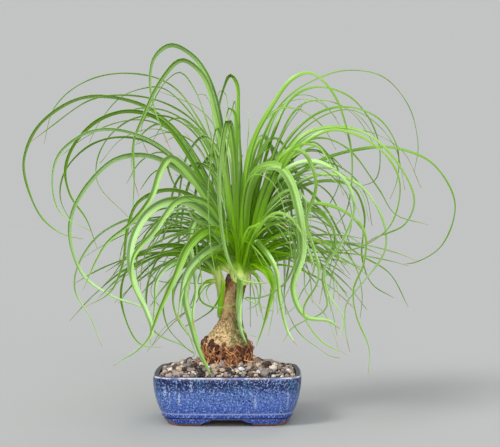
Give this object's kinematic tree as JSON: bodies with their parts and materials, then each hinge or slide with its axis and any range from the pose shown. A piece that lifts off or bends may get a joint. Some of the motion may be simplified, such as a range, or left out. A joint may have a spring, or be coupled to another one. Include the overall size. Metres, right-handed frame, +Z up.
{
  "type": "potted ponytail palm",
  "caption": "Ponytail palm with a swollen trunk, a fountain of long strap leaves and a side shoot, in a blue glazed rectangular bonsai pot.",
  "frame": {"origin": "middle of the pot, on the surface that its feet stand on, which is also the middle of the whole plant's spread", "axes": "+Z up, +X to the right along the pot's long side, -Y towards the front of the picture"},
  "size_m": [0.4879, 0.2927, 0.3979],
  "materials": {
    "pot_glaze": "gloss",
    "drain_screen": "matte",
    "gritty_soil": "matte",
    "bark": "matte",
    "leaf": "satin",
    "young_leaf": "satin"
  },
  "bodies": {
    "root": {"pot": "pot_glaze", "drain_screen_left": "drain_screen", "drain_screen_right": "drain_screen", "soil": "gritty_soil", "trunk": "bark", "main_head": "leaf", "side_head": "young_leaf"}
  },
  "joints": []
}
